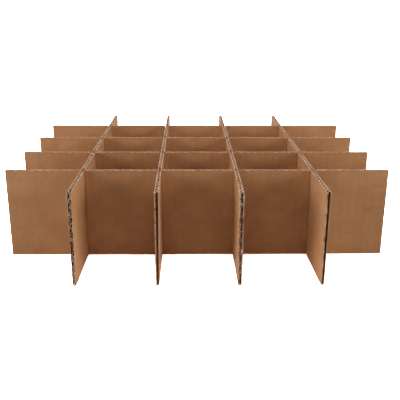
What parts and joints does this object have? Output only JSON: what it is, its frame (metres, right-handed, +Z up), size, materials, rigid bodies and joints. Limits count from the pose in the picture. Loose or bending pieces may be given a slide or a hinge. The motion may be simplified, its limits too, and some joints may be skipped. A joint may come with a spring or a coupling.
{
  "type": "corrugated carton divider",
  "caption": "Slotted cell divider of corrugated kraft board: interlocking upright strips that part a carton into square cells.",
  "frame": {"origin": "centre of the underside, on the surface that the divider stands on", "axes": "+X along the crosswise strips to the right, +Y along the lengthwise strips to the rear, +Z up"},
  "size_m": [0.325, 0.325, 0.0765],
  "materials": {
    "liner_kraft": "matt unbleached kraft liner",
    "medium_kraft": "matt fluted kraft medium, rough where it is cut"
  },
  "bodies": {
    "crosswise_strip_1": {"crosswise_strip_1_front_liner": "liner_kraft", "crosswise_strip_1_fluted_medium": "medium_kraft", "crosswise_strip_1_back_liner": "liner_kraft"},
    "crosswise_strip_2": {"crosswise_strip_2_front_liner": "liner_kraft", "crosswise_strip_2_fluted_medium": "medium_kraft", "crosswise_strip_2_back_liner": "liner_kraft"},
    "crosswise_strip_3": {"crosswise_strip_3_front_liner": "liner_kraft", "crosswise_strip_3_fluted_medium": "medium_kraft", "crosswise_strip_3_back_liner": "liner_kraft"},
    "crosswise_strip_4": {"crosswise_strip_4_front_liner": "liner_kraft", "crosswise_strip_4_fluted_medium": "medium_kraft", "crosswise_strip_4_back_liner": "liner_kraft"},
    "lengthwise_strip_1": {"lengthwise_strip_1_left_liner": "liner_kraft", "lengthwise_strip_1_fluted_medium": "medium_kraft", "lengthwise_strip_1_right_liner": "liner_kraft"},
    "lengthwise_strip_2": {"lengthwise_strip_2_left_liner": "liner_kraft", "lengthwise_strip_2_fluted_medium": "medium_kraft", "lengthwise_strip_2_right_liner": "liner_kraft"},
    "lengthwise_strip_3": {"lengthwise_strip_3_left_liner": "liner_kraft", "lengthwise_strip_3_fluted_medium": "medium_kraft", "lengthwise_strip_3_right_liner": "liner_kraft"},
    "lengthwise_strip_4": {"lengthwise_strip_4_left_liner": "liner_kraft", "lengthwise_strip_4_fluted_medium": "medium_kraft", "lengthwise_strip_4_right_liner": "liner_kraft"}
  },
  "joints": [
    {"name": "lengthwise_strip_1_rack", "type": "hinge", "parent": "crosswise_strip_1", "child": "lengthwise_strip_1", "pos_m": [-0.0975, -0.0975, 0.03825], "axis": [0, 0, 1], "range_deg": [-16, 16]},
    {"name": "lengthwise_strip_2_rack", "type": "hinge", "parent": "crosswise_strip_1", "child": "lengthwise_strip_2", "pos_m": [-0.0325, -0.0975, 0.03825], "axis": [0, 0, 1], "range_deg": [-16, 16]},
    {"name": "lengthwise_strip_3_rack", "type": "hinge", "parent": "crosswise_strip_1", "child": "lengthwise_strip_3", "pos_m": [0.0325, -0.0975, 0.03825], "axis": [0, 0, 1], "range_deg": [-16, 16]},
    {"name": "lengthwise_strip_4_rack", "type": "hinge", "parent": "crosswise_strip_1", "child": "lengthwise_strip_4", "pos_m": [0.0975, -0.0975, 0.03825], "axis": [0, 0, 1], "range_deg": [-16, 16]},
    {"name": "crosswise_strip_2_rack", "type": "hinge", "parent": "lengthwise_strip_1", "child": "crosswise_strip_2", "pos_m": [-0.0975, -0.0325, 0.03825], "axis": [0, 0, 1], "range_deg": [-16, 16]},
    {"name": "crosswise_strip_3_rack", "type": "hinge", "parent": "lengthwise_strip_1", "child": "crosswise_strip_3", "pos_m": [-0.0975, 0.0325, 0.03825], "axis": [0, 0, 1], "range_deg": [-16, 16]},
    {"name": "crosswise_strip_4_rack", "type": "hinge", "parent": "lengthwise_strip_1", "child": "crosswise_strip_4", "pos_m": [-0.0975, 0.0975, 0.03825], "axis": [0, 0, 1], "range_deg": [-16, 16]}
  ],
  "couplings": [
    {"joint": "lengthwise_strip_2_rack", "follows": "lengthwise_strip_1_rack", "ratio": 1},
    {"joint": "lengthwise_strip_3_rack", "follows": "lengthwise_strip_1_rack", "ratio": 1},
    {"joint": "lengthwise_strip_4_rack", "follows": "lengthwise_strip_1_rack", "ratio": 1},
    {"joint": "crosswise_strip_2_rack", "follows": "lengthwise_strip_1_rack", "ratio": -1},
    {"joint": "crosswise_strip_3_rack", "follows": "lengthwise_strip_1_rack", "ratio": -1},
    {"joint": "crosswise_strip_4_rack", "follows": "lengthwise_strip_1_rack", "ratio": -1}
  ]
}
